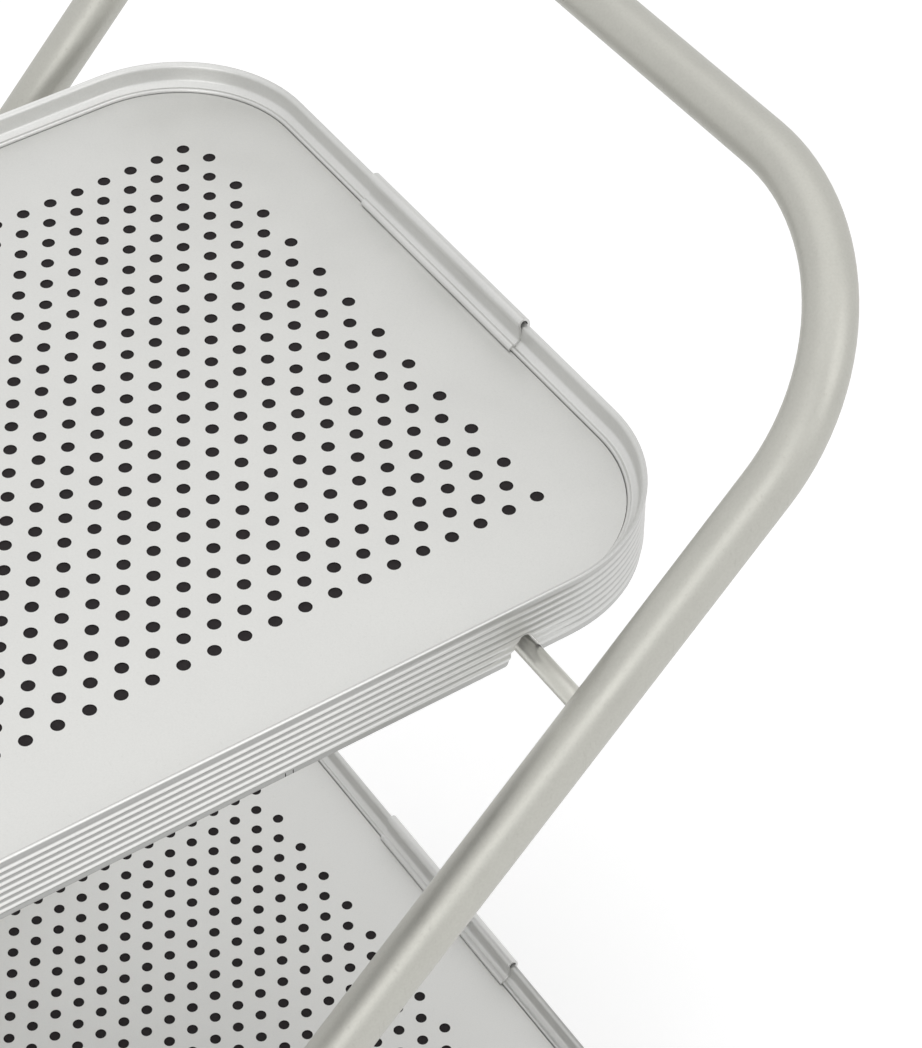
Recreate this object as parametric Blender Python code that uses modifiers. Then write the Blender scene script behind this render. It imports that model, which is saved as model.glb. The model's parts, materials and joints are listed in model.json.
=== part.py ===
"""Folding two-tier serving trolley: two crossed tube frames, two perforated trays in ribbed rims, four casters.

Metres, +Z up, +X to the right, +Y to the rear. The origin is on the floor, in the middle of the footprint.
The outer frame carries its handle at the rear, the inner frame carries its handle at the front. They cross at
two pivot rivets. Each tray turns on a rod near its front end and hooks over a rod of the other frame at its rear.
"""
import math

import bmesh
import bpy
from mathutils import Matrix, Vector

# ---------------------------------------------------------------- driving sizes
GAP = 0.0003                    # clearance between pieces that touch or run in each other

# crossed frames
TUBE_RADIUS = 0.011
TUBE_WALL = 0.0015
LEG_ANGLE = math.radians(46.2)  # of each leg above the floor
ROD_REACH = 0.3174              # pivot to a cross rod, along the leg
HANDLE_REACH = 0.5324           # pivot to the handle bar, along the leg
HANDLE_BEND_RADIUS = 0.100
FOOT_RUN = 0.020                # straight leg below the lower rod
FOOT_BEND_RADIUS = 0.040
FOOT_STUB = 0.024               # upright end that takes the caster
TUBE_SIDES_STEP = 6             # bevel resolution of the tubes
HANDLE_BEND_STEPS = 8
FOOT_BEND_STEPS = 4

# cross rods
ROD_RADIUS = 0.0045
ROD_END_DEPTH = 0.0050          # how far a rod's end runs into a leg's drilled hole

# pivots
RIVET_RADIUS = 0.0040
RIVET_HEAD_RADIUS = 0.0080
RIVET_DOME_HEIGHT = 0.0032
RIVET_TAIL_HEIGHT = 0.0018
PIVOT_SPACE = 0.0030            # between the two frames' tubes
WASHER_RADIUS = 0.0095

# trays
TRAY_WIDTH = 0.391
TRAY_LENGTH = 0.6155
TRAY_SIDE_SPACE = 0.0030        # between a tray's side and the inner frame's tubes
RIM_CORNER_RADIUS = 0.070
RIM_DEPTH = 0.0075              # from the sheet's edge to the rim's outer face
RIM_CORNER_STEPS = 6
SHEET_THICKNESS = 0.0005
BOARD_THICKNESS = 0.0050
BOARD_TUCK = 0.0030             # how far the board reaches under the rim's ledge
ROD_DROP = 0.0218               # rod's axis below the sheet's upper face

# ribs on the rim's outer face, heights from the sheet's upper face
RIM_TOP = 0.0126
RIM_BOTTOM = -0.0204
RIB_COUNT = 7
RIB_PITCH = 0.00385
RIB_HEIGHT = 0.0011
RIB_TOP = 0.0091
BEAD_RADIUS = 0.00125           # of the round bead along the rim's top edge

# sleeve over the rim's joint
SLEEVE_LENGTH = 0.119
SLEEVE_THICKNESS = 0.0008

# bearing and hook blocks under the trays
BLOCK_LENGTH = 0.022
BLOCK_FROM_SIDE = 0.045         # block's centre from the tray's side
BLOCK_HALF_BASE = 0.016
BLOCK_FOOT = 0.0038             # thickness of the block's flange
BLOCK_WALL = 0.0042
HOOK_DEPTH = 0.0075             # hook's rear wall below the rod's axis

# casters
CASTER_HEIGHT = 0.072           # floor to the tube's end
SOCKET_COLLAR = 0.0035
SOCKET_DEPTH = 0.021
STEM_RADIUS = 0.0040
STEM_LENGTH = 0.018
WHEEL_RADIUS = 0.025
TYRE_WIDTH = 0.018
TYRE_THICKNESS = 0.0060
TRAIL = 0.018                   # wheel's axle behind the swivel axis
FORK_PLATE = 0.0022
FORK_CLEARANCE = 0.0012         # between tyre and fork arm
FORK_CROWN = 0.0040
FORK_HALF_LENGTH = 0.0125
AXLE_RADIUS = 0.0030
AXLE_HEAD_RADIUS = 0.0050
AXLE_HEAD_HEIGHT = 0.0014
ROUND_STEPS = 20
SMALL_ROUND_STEPS = 16

# ---------------------------------------------------------------- sizes that follow
COS_LEG = math.cos(LEG_ANGLE)
SIN_LEG = math.sin(LEG_ANGLE)
ROD_Y = ROD_REACH * COS_LEG
ROD_RISE = ROD_REACH * SIN_LEG
FOOT_Y = (ROD_REACH + FOOT_RUN) * COS_LEG + FOOT_BEND_RADIUS * (1 - SIN_LEG)
LOWER_ROD_Z = CASTER_HEIGHT + FOOT_STUB + FOOT_BEND_RADIUS * COS_LEG + FOOT_RUN * SIN_LEG
PIVOT_Z = LOWER_ROD_Z + ROD_RISE
UPPER_ROD_Z = PIVOT_Z + ROD_RISE
INNER_X = TRAY_WIDTH / 2 + TRAY_SIDE_SPACE + TUBE_RADIUS
OUTER_X = INNER_X + 2 * TUBE_RADIUS + PIVOT_SPACE
EDGE_X = TRAY_WIDTH / 2 - RIM_DEPTH          # inner edge of the rim's ledge
EDGE_Y = TRAY_LENGTH / 2 - RIM_DEPTH
EDGE_RADIUS = RIM_CORNER_RADIUS - RIM_DEPTH
RIB_BOTTOM = RIB_TOP - RIB_COUNT * RIB_PITCH
BOARD_TOP = -SHEET_THICKNESS - GAP
BOARD_BOTTOM = BOARD_TOP - BOARD_THICKNESS
BLOCK_TOP = BOARD_BOTTOM - GAP + ROD_DROP    # above the rod's axis
BORE_RADIUS = ROD_RADIUS + GAP
REAR, FRONT = 1, -1

TRAY_HEIGHTS = {"upper": UPPER_ROD_Z + ROD_DROP, "lower": LOWER_ROD_Z + ROD_DROP}

# world axes that an outline's own x, y and z take
ACROSS = Matrix(((0, 0, 1), (1, 0, 0), (0, 1, 0))).to_4x4()     # outline in Y-Z, thickness along X
TURNED_ON_X = Matrix(((0, 0, 1), (0, 1, 0), (-1, 0, 0))).to_4x4()  # a turned piece's axis laid along X


# ---------------------------------------------------------------- tools
def clear_scene():
    for old in list(bpy.data.objects):
        bpy.data.objects.remove(old)


def new_collection(name):
    made = bpy.data.collections.new(name)
    bpy.context.scene.collection.children.link(made)
    return made


def new_material(name, colour, roughness, metallic):
    made = bpy.data.materials.new(name)
    made.use_nodes = True
    shader = made.node_tree.nodes["Principled BSDF"]
    shader.inputs["Base Color"].default_value = (*colour, 1)
    shader.inputs["Roughness"].default_value = roughness
    shader.inputs["Metallic"].default_value = metallic
    return made


def show(piece, material, smooth_degrees=35):
    """Puts a finished piece in the trolley's collection, with its material and its smooth shading."""
    piece.data.materials.clear()
    piece.data.materials.append(material)
    piece.data.shade_smooth()
    piece.data.set_sharp_from_angle(angle=math.radians(smooth_degrees))
    TROLLEY.objects.link(piece)
    return piece


def solid_from_curve(curve, matrix):
    """The closed mesh object that a curve makes, with its caps welded on."""
    holder = bpy.data.objects.new(curve.name, curve)
    bpy.context.scene.collection.objects.link(holder)
    bpy.context.view_layer.update()
    mesh = bpy.data.meshes.new_from_object(holder.evaluated_get(bpy.context.evaluated_depsgraph_get()))
    bpy.data.objects.remove(holder)
    shape = bmesh.new()
    shape.from_mesh(mesh)
    bmesh.ops.remove_doubles(shape, verts=shape.verts, dist=1e-6)
    bmesh.ops.recalc_face_normals(shape, faces=shape.faces)
    shape.to_mesh(mesh)
    shape.free()
    piece = bpy.data.objects.new(curve.name, mesh)
    piece.matrix_world = matrix
    return piece


def add_spline(curve, points, cyclic):
    spline = curve.splines.new("POLY")
    spline.points.add(len(points) - 1)
    for target, point in zip(spline.points, points):
        target.co = (*point, 0, 1) if len(point) == 2 else (*point, 1)
    spline.use_cyclic_u = cyclic


def flat_piece(name, outlines, thickness, matrix):
    """A plate: closed outlines, the first the outer one, filled and given a thickness about their plane."""
    curve = bpy.data.curves.new(name, "CURVE")
    curve.dimensions = "2D"
    curve.fill_mode = "BOTH"
    curve.extrude = thickness / 2
    for outline in outlines:
        add_spline(curve, outline, True)
    return solid_from_curve(curve, matrix)


def turned_piece(name, profile, matrix, steps, ring=False):
    """A profile of (radius, height) turned about the piece's own Z. It runs down the outside; a ring's closes."""
    mesh = bpy.data.meshes.new(name)
    last = [(len(profile) - 1, 0)] if ring else []
    mesh.from_pydata([(r, 0, z) for r, z in profile], [(i, i + 1) for i in range(len(profile) - 1)] + last, [])
    piece = bpy.data.objects.new(name, mesh)
    piece.matrix_world = matrix
    turn = piece.modifiers.new("turn", "SCREW")
    turn.axis = "Z"
    turn.steps = steps
    turn.render_steps = steps
    turn.use_merge_vertices = True
    turn.merge_threshold = 0.00001
    return piece


def cut(piece, cutters, operation="DIFFERENCE"):
    """Cuts or joins the named cutters on a piece, which keeps the Boolean modifiers."""
    for cutter in cutters:
        CUTTERS.objects.link(cutter)
        cutter.hide_render = True
        cutter.display_type = "WIRE"
        step = piece.modifiers.new(operation.lower(), "BOOLEAN")
        step.operation = operation
        step.object = cutter
        step.solver = "EXACT"
    return piece


def arc(centre, radius, start, end, steps):
    """Points on an arc, from the start angle to the end angle in degrees, both included."""
    angles = [math.radians(start + (end - start) * i / steps) for i in range(steps + 1)]
    return [(centre[0] + radius * math.cos(a), centre[1] + radius * math.sin(a)) for a in angles]


def rounded_rectangle(half_x, half_y, radius, steps):
    corners = ((1, 1, 0), (-1, 1, 90), (-1, -1, 180), (1, -1, 270))
    points = []
    for sx, sy, start in corners:
        centre = (sx * (half_x - radius), sy * (half_y - radius))
        points += arc(centre, radius, start, start + 90, steps)
    return points


def peg(name, radius, start, length, axis):
    """A plain round cutter from a start point, along X or Z."""
    turn = TURNED_ON_X if axis == "X" else Matrix.Identity(4)
    profile = [(0, length), (radius, length), (radius, 0), (0, 0)]
    return turned_piece(name, profile, Matrix.Translation(start) @ turn, SMALL_ROUND_STEPS)


# ---------------------------------------------------------------- frames
def leg_point(facing, reach):
    """A point on a leg's axis in the Y-Z plane, at a distance from the pivot; facing is the handle's side."""
    return facing * reach * COS_LEG, PIVOT_Z + reach * SIN_LEG


def leg_axis(facing, half_width):
    """One side of a frame's axis: from the foot's end up the leg and round the bend to the handle bar."""
    foot_y, foot_z = leg_point(facing, -(ROD_REACH + FOOT_RUN))
    points = []
    for i in range(FOOT_BEND_STEPS + 1):
        angle = math.pi / 2 + (LEG_ANGLE - math.pi / 2) * i / FOOT_BEND_STEPS
        y = foot_y - facing * FOOT_BEND_RADIUS * (math.sin(angle) - SIN_LEG)
        z = foot_z + FOOT_BEND_RADIUS * (math.cos(angle) - COS_LEG)
        points.append((half_width, y, z))
    points.insert(0, (half_width, points[0][1], points[0][2] - FOOT_STUB))
    for i in range(HANDLE_BEND_STEPS + 1):
        angle = math.pi / 2 * i / HANDLE_BEND_STEPS
        reach = HANDLE_REACH - HANDLE_BEND_RADIUS * (1 - math.sin(angle))
        x = half_width - HANDLE_BEND_RADIUS * (1 - math.cos(angle))
        points.append((x, *leg_point(facing, reach)))
    return points


def frame_tube(name, facing, half_width):
    """A U of hollow tube, open at its two feet, drilled for the pivots and for the rods' ends."""
    right = leg_axis(facing, half_width)
    left = [(-x, y, z) for x, y, z in reversed(right)]
    curve = bpy.data.curves.new(name, "CURVE")
    curve.dimensions = "3D"
    curve.bevel_depth = TUBE_RADIUS
    curve.bevel_resolution = TUBE_SIDES_STEP
    add_spline(curve, right + left, False)
    tube = solid_from_curve(curve, Matrix.Identity(4))
    wall = tube.modifiers.new("wall", "SOLIDIFY")
    wall.thickness = TUBE_WALL
    wall.offset = -1
    wall.use_even_offset = True
    holes = []
    for side in (1, -1):
        through = 2 * TUBE_RADIUS + 4 * GAP
        start = Vector((side * half_width - through / 2, 0, PIVOT_Z))
        holes.append(peg(f"{name}_pivot_hole", RIVET_RADIUS + GAP, start, through, "X"))
        for reach in (ROD_REACH, -ROD_REACH):
            y, z = leg_point(facing, reach)
            start = Vector((side * (half_width - TUBE_RADIUS / 2) - TUBE_RADIUS / 2 - side * 0.001, y, z))
            holes.append(peg(f"{name}_rod_hole", ROD_RADIUS + GAP, start, TUBE_RADIUS, "X"))
    return show(cut(tube, holes), STEEL_TUBE)


def cross_rod(name, facing, reach, half_width):
    """A round rod whose ends sit in the legs' drilled holes."""
    end = half_width - TUBE_RADIUS + ROD_END_DEPTH
    profile = [(0, end), (ROD_RADIUS, end), (ROD_RADIUS, -end), (0, -end)]
    place = Matrix.Translation((0, *leg_point(facing, reach))) @ TURNED_ON_X
    return show(turned_piece(name, profile, place, SMALL_ROUND_STEPS), STEEL_ROD)


def pivot(side, label):
    """The rivet that joins the frames on one side, and the washer that keeps the tubes apart."""
    outside = OUTER_X + TUBE_RADIUS + GAP
    inside = INNER_X - TUBE_RADIUS - GAP
    dome = arc((0, outside), RIVET_HEAD_RADIUS, 90, 0, 5)
    squash = RIVET_DOME_HEIGHT / RIVET_HEAD_RADIUS
    profile = [(max(r, 0), outside + (x - outside) * squash) for r, x in dome]
    profile[0] = (0, profile[0][1])
    profile += [(RIVET_RADIUS, outside), (RIVET_RADIUS, inside), (RIVET_HEAD_RADIUS, inside)]
    profile += [(RIVET_HEAD_RADIUS - GAP, inside - RIVET_TAIL_HEIGHT), (0, inside - RIVET_TAIL_HEIGHT)]
    place = Matrix.Translation((0, 0, PIVOT_Z)) @ TURNED_ON_X
    if side < 0:
        place = Matrix.Translation((0, 0, PIVOT_Z)) @ Matrix.Rotation(math.pi, 4, "Z") @ TURNED_ON_X
    show(turned_piece(f"pivot_rivet_{label}", profile, place, SMALL_ROUND_STEPS), STEEL_ROD)
    near, far = INNER_X + TUBE_RADIUS + GAP, OUTER_X - TUBE_RADIUS - GAP
    bore = RIVET_RADIUS + GAP
    ring = [(bore, far), (WASHER_RADIUS, far), (WASHER_RADIUS, near), (bore, near)]
    show(turned_piece(f"pivot_washer_{label}", ring, place, SMALL_ROUND_STEPS, ring=True), DARK_PLASTIC)


# ---------------------------------------------------------------- trays
def rim_profile():
    """The rim's section as (outwards from the sheet's edge, up from the sheet's face)."""
    channel = [(-0.0060, BOARD_BOTTOM - GAP), (BOARD_TUCK + GAP, BOARD_BOTTOM - GAP)]
    channel += [(BOARD_TUCK + GAP, BOARD_TOP + GAP), (0, BOARD_TOP + GAP)]
    ledge = [(0, 0.0009), (0.0007, 0.0015), (0.0014, 0.0015), (0.0022, 0.0012), (0.0026, 0.0026)]
    ledge += [(0.0034, 0.0035), (0.0043, 0.0037), (0.0049, 0.0050), (0.0053, 0.0072), (0.0053, 0.0098)]
    bead = arc((RIM_DEPTH - BEAD_RADIUS, RIM_TOP - BEAD_RADIUS), BEAD_RADIUS, 190, 0, 6)
    ribs = [(RIM_DEPTH, RIB_TOP + 0.0003)]
    for i in range(RIB_COUNT):
        top = RIB_TOP - i * RIB_PITCH
        ribs += [(RIM_DEPTH - RIB_HEIGHT, top), (RIM_DEPTH, top - 0.3 * RIB_PITCH)]
        ribs.append((RIM_DEPTH, top - 0.7 * RIB_PITCH))
    ribs += [(RIM_DEPTH - RIB_HEIGHT, RIB_BOTTOM), (RIM_DEPTH, RIB_BOTTOM - 0.0008)]
    foot = [(RIM_DEPTH, RIM_BOTTOM), (RIM_DEPTH - 0.0022, RIM_BOTTOM)]
    lip = [(RIM_DEPTH - 0.0022, BOARD_BOTTOM - GAP - 0.0016), (-0.0060, BOARD_BOTTOM - GAP - 0.0016)]
    return channel + ledge + bead + ribs + foot + lip


def notch(tray, end, side):
    """The opening in a rim's side wall that a rod passes through, its front side slanted at the rear rod."""
    bottom = ROD_DROP + RIM_BOTTOM - 0.004
    if end == REAR:
        outline = [(0.0069, bottom), (0.0069, -0.0026)] + arc((-0.0045, 0.0093), 0.0045, 28, 140, 5)
        outline += [(-0.0113, 0.0075), (-0.0125, 0.0030), (-0.0140, 0.0012), (-0.0140, bottom)]
    else:
        hollow = ROD_RADIUS + 0.0015
        outline = [(hollow, bottom)] + arc((0, 0), hollow, 0, 180, 8) + [(-hollow, bottom)]
    x = side * (TRAY_WIDTH / 2 - 0.0010)
    place = Matrix.Translation((x, end * ROD_Y, TRAY_HEIGHTS[tray] - ROD_DROP)) @ ACROSS
    return flat_piece(f"{tray}_notch", [outline], 0.0060, place)


def rim(tray):
    """The ribbed rim: its section swept round the tray, with notches for the rods."""
    section = bpy.data.curves.new(f"{tray}_rim_section", "CURVE")
    section.dimensions = "2D"
    add_spline(section, rim_profile(), True)
    guide = bpy.data.objects.new(section.name, section)
    CUTTERS.objects.link(guide)
    guide.hide_render = True
    curve = bpy.data.curves.new(f"{tray}_rim", "CURVE")
    curve.dimensions = "3D"
    curve.twist_mode = "Z_UP"
    curve.bevel_mode = "OBJECT"
    curve.bevel_object = guide
    add_spline(curve, rounded_rectangle(EDGE_X, EDGE_Y, EDGE_RADIUS, RIM_CORNER_STEPS), True)
    ring = solid_from_curve(curve, Matrix.Translation((0, 0, TRAY_HEIGHTS[tray])))
    notches = [notch(tray, end, side) for end in (REAR, FRONT) for side in (1, -1)]
    return show(cut(ring, notches), ALUMINIUM_RIM, 25)


def sleeve(tray):
    """A thin sheet wrapped over the rim at the middle of the rear side, where the rim's ends meet."""
    bead = (RIM_DEPTH - BEAD_RADIUS, RIM_TOP - BEAD_RADIUS)
    path = [(-0.0013, 0.00075), (-0.0004, 0.0014), (0.0006, 0.0023), (0.0016, 0.0023), (0.0021, 0.0024)]
    path += [(0.0024, 0.0037), (0.0033, 0.0045), (0.0039, 0.0047), (0.0043, 0.0058), (0.0045, 0.0074)]
    path += arc(bead, BEAD_RADIUS + SLEEVE_THICKNESS, 195, 0, 7)
    path += [(0.0084, 0.0100), (0.0084, RIM_BOTTOM - 0.0004)]
    path += [(0.0078, RIM_BOTTOM - 0.0009), (0.0062, RIM_BOTTOM - 0.0009)]
    shape = bmesh.new()
    line = [shape.verts.new((-SLEEVE_LENGTH / 2, u, z)) for u, z in path]
    edges = [shape.edges.new(pair) for pair in zip(line, line[1:])]
    drawn = bmesh.ops.extrude_edge_only(shape, edges=edges)["geom"]
    far = [v for v in drawn if isinstance(v, bmesh.types.BMVert)]
    bmesh.ops.translate(shape, verts=far, vec=(SLEEVE_LENGTH, 0, 0))
    mesh = bpy.data.meshes.new(f"{tray}_rim_sleeve")
    shape.to_mesh(mesh)
    shape.free()
    piece = bpy.data.objects.new(mesh.name, mesh)
    piece.matrix_world = Matrix.Translation((0, EDGE_Y, TRAY_HEIGHTS[tray]))
    wall = piece.modifiers.new("wall", "SOLIDIFY")
    wall.thickness = SLEEVE_THICKNESS
    wall.offset = 0
    return show(piece, ALUMINIUM_RIM, 50)


def panels(tray):
    """The tray's sheet and the dark board that carries it."""
    height = TRAY_HEIGHTS[tray]
    sheet = rounded_rectangle(EDGE_X - GAP, EDGE_Y - GAP, EDGE_RADIUS - GAP, RIM_CORNER_STEPS)
    place = Matrix.Translation((0, 0, height - SHEET_THICKNESS / 2))
    show(flat_piece(f"{tray}_tray_sheet", [sheet], SHEET_THICKNESS, place), ALUMINIUM_SHEET)
    reach = BOARD_TUCK
    board = rounded_rectangle(EDGE_X + reach, EDGE_Y + reach, EDGE_RADIUS + reach, RIM_CORNER_STEPS)
    place = Matrix.Translation((0, 0, height + (BOARD_TOP + BOARD_BOTTOM) / 2))
    show(flat_piece(f"{tray}_tray_board", [board], BOARD_THICKNESS, place), DARK_BOARD)


def hinge_outline():
    """A bearing block from the side, about the rod's axis: a flange under the board and a round cheek."""
    cheek = BORE_RADIUS + BLOCK_WALL
    flange = [(BLOCK_HALF_BASE, BLOCK_TOP - BLOCK_FOOT), (BLOCK_HALF_BASE, BLOCK_TOP)]
    outer = flange + [(-y, z) for y, z in reversed(flange)] + arc((0, 0), cheek, 160, 380, 10)
    return [outer, arc((0, 0), BORE_RADIUS, 0, 345, 23)]


def hook_outline():
    """A hook block from the side: a seat over the rod, a rear wall, and an open front for the rod to leave."""
    seat = BORE_RADIUS
    flange = [(BLOCK_HALF_BASE, BLOCK_TOP - BLOCK_FOOT), (BLOCK_HALF_BASE, BLOCK_TOP)]
    outer = flange + [(-y, z) for y, z in reversed(flange)]
    outer += [(-BLOCK_HALF_BASE + 0.004, seat + 0.0014)]
    outer += list(reversed(arc((0, 0), seat, 0, 105, 7)))
    outer += [(seat, -HOOK_DEPTH), (seat + BLOCK_WALL, -HOOK_DEPTH), (seat + BLOCK_WALL, seat)]
    return [outer]


def block(name, outlines, tray, end, side):
    x = side * (TRAY_WIDTH / 2 - BLOCK_FROM_SIDE)
    place = Matrix.Translation((x, end * ROD_Y, TRAY_HEIGHTS[tray] - ROD_DROP)) @ ACROSS
    show(flat_piece(name, outlines, BLOCK_LENGTH, place), DARK_PLASTIC)


# ---------------------------------------------------------------- casters
def socket(name, place):
    """The plug in a tube's end: a collar under the tube, and a bore from below for the caster's stem."""
    plug = TUBE_RADIUS - TUBE_WALL - GAP
    bore = STEM_RADIUS + GAP
    top, collar = SOCKET_DEPTH, -GAP
    bottom = collar - SOCKET_COLLAR
    roof = bottom + STEM_LENGTH + 2 * GAP
    profile = [(0, top), (plug - 0.001, top), (plug, top - 0.001), (plug, collar), (TUBE_RADIUS, collar)]
    profile += [(TUBE_RADIUS, bottom), (bore, bottom), (bore, roof), (0, roof)]
    show(turned_piece(name, profile, place, SMALL_ROUND_STEPS), DARK_PLASTIC)


def fork(name, place):
    """A bent-plate fork: a crown under the socket, two arms that taper to the axle, and the swivel stem."""
    crown_top = -GAP - SOCKET_COLLAR - GAP
    crown_bottom = crown_top - FORK_CROWN
    axle_z = WHEEL_RADIUS - CASTER_HEIGHT
    boss = AXLE_RADIUS + 0.0035
    outline = [(FORK_HALF_LENGTH, crown_top), (-FORK_HALF_LENGTH, crown_top)]
    outline += arc((-TRAIL, axle_z), boss, 165, 330, 6) + [(FORK_HALF_LENGTH, crown_bottom - 0.002)]
    half_slot = TYRE_WIDTH / 2 + FORK_CLEARANCE
    body = flat_piece(name, [outline], 2 * (half_slot + FORK_PLATE), place @ ACROSS)
    low = axle_z - 2 * boss
    window = [(0.03, crown_bottom), (-0.04, crown_bottom), (-0.04, low), (0.03, low)]
    slot = flat_piece(f"{name}_slot", [window], 2 * half_slot, place @ ACROSS)
    hole_start = place @ Vector((-0.03, -TRAIL, axle_z))
    hole = peg(f"{name}_axle_hole", AXLE_RADIUS + GAP, hole_start, 0.06, "X")
    cut(body, [slot, hole])
    stem_start = place @ Vector((0, 0, crown_top - FORK_CROWN / 2))
    stem = peg(f"{name}_stem", STEM_RADIUS, stem_start, STEM_LENGTH + FORK_CROWN / 2 - GAP, "Z")
    cut(body, [stem], "UNION")
    show(body, STEEL_ROD)


def wheel(label, place):
    """The axle, the hub and the tyre of one caster."""
    centre = place @ Matrix.Translation((0, -TRAIL, WHEEL_RADIUS - CASTER_HEIGHT)) @ TURNED_ON_X
    face = TYRE_WIDTH / 2 + FORK_CLEARANCE + FORK_PLATE + GAP
    end = face + AXLE_HEAD_HEIGHT
    half = [(0, end), (AXLE_HEAD_RADIUS - 0.0008, end), (AXLE_HEAD_RADIUS, face), (AXLE_RADIUS, face)]
    axle = half + [(r, -z) for r, z in reversed(half)]
    show(turned_piece(f"axle_{label}", axle, centre, SMALL_ROUND_STEPS), STEEL_ROD)
    bore = AXLE_RADIUS + GAP
    rim_radius = WHEEL_RADIUS - TYRE_THICKNESS
    half_hub, half_web = TYRE_WIDTH / 2 + FORK_CLEARANCE - GAP, 0.0030
    hub = [(bore, half_hub), (0.0062, half_hub), (0.0070, half_web), (rim_radius - 0.0025, half_web)]
    hub += [(rim_radius - 0.0020, TYRE_WIDTH / 2 - 0.001), (rim_radius, TYRE_WIDTH / 2 - 0.001)]
    hub += [(r, -z) for r, z in reversed(hub)]
    show(turned_piece(f"wheel_hub_{label}", hub, centre, ROUND_STEPS, ring=True), DARK_PLASTIC)
    inner = rim_radius + GAP
    tread = TYRE_WIDTH / 2 - 0.0035
    tyre = [(inner, TYRE_WIDTH / 2 - 0.001), (inner + 0.0012, TYRE_WIDTH / 2)]
    tyre += [(WHEEL_RADIUS - 0.0020, TYRE_WIDTH / 2 - 0.0010), (WHEEL_RADIUS, tread)]
    tyre += [(r, -z) for r, z in reversed(tyre)]
    show(turned_piece(f"tyre_{label}", tyre, centre, ROUND_STEPS, ring=True), RUBBER)


def caster(label, x, y):
    foot = Matrix.Translation((x, y, CASTER_HEIGHT))
    socket(f"caster_socket_{label}", foot)
    fork(f"caster_fork_{label}", foot)
    wheel(label, foot)


# ---------------------------------------------------------------- the trolley
clear_scene()
TROLLEY = new_collection("serving_trolley")
CUTTERS = new_collection("cutters")
STEEL_TUBE = new_material("satin_tube", (0.60, 0.59, 0.55), 0.38, 0.85)
STEEL_ROD = new_material("satin_rod", (0.58, 0.57, 0.53), 0.36, 0.85)
ALUMINIUM_RIM = new_material("ribbed_aluminium", (0.76, 0.76, 0.74), 0.38, 0.6)
ALUMINIUM_SHEET = new_material("tray_sheet", (0.72, 0.72, 0.70), 0.42, 0.5)
DARK_BOARD = new_material("dark_board", (0.035, 0.034, 0.036), 0.6, 0.0)
DARK_PLASTIC = new_material("dark_plastic", (0.05, 0.05, 0.05), 0.5, 0.0)
RUBBER = new_material("rubber", (0.03, 0.03, 0.03), 0.8, 0.0)

frame_tube("outer_frame_tube", REAR, OUTER_X)
frame_tube("inner_frame_tube", FRONT, INNER_X)
cross_rod("upper_rear_rod", REAR, ROD_REACH, OUTER_X)
cross_rod("lower_front_rod", REAR, -ROD_REACH, OUTER_X)
cross_rod("upper_front_rod", FRONT, ROD_REACH, INNER_X)
cross_rod("lower_rear_rod", FRONT, -ROD_REACH, INNER_X)

for side, label in ((1, "right"), (-1, "left")):
    pivot(side, label)
    for tray in TRAY_HEIGHTS:
        block(f"{tray}_hinge_block_{label}", hinge_outline(), tray, FRONT, side)
        block(f"{tray}_hook_block_{label}", hook_outline(), tray, REAR, side)
    caster(f"front_{label}", side * OUTER_X, -FOOT_Y)
    caster(f"rear_{label}", side * INNER_X, FOOT_Y)

for tray in TRAY_HEIGHTS:
    panels(tray)
    rim(tray)
    sleeve(tray)
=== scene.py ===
"""Looks of the folding serving trolley, built round its CAD frame: tubes, ribbed rims, perforated trays."""
import json
import math

import bmesh
import bpy
from mathutils import Matrix, Vector

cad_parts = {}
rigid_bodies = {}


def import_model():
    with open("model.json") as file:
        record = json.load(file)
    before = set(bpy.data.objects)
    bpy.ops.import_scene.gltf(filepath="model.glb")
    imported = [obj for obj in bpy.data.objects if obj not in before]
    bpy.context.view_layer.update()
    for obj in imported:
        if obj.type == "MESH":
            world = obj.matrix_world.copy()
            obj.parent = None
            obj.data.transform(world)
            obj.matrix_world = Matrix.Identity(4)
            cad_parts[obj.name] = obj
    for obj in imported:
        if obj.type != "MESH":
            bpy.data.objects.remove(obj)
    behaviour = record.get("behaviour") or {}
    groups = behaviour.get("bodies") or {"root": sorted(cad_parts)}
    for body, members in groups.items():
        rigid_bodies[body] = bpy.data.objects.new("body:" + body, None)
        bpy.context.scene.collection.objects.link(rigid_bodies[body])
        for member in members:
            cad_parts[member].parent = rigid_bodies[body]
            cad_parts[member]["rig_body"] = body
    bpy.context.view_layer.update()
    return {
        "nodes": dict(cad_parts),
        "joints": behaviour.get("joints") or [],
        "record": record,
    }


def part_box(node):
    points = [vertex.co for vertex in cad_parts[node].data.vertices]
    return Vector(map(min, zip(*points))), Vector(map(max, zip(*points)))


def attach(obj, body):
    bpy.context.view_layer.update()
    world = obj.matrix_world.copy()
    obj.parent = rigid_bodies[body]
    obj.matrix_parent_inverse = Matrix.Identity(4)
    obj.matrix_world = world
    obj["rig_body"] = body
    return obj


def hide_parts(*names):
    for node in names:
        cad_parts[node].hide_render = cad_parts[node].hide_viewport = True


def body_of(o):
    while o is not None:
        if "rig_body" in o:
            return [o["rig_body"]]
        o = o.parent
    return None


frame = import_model()

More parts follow.
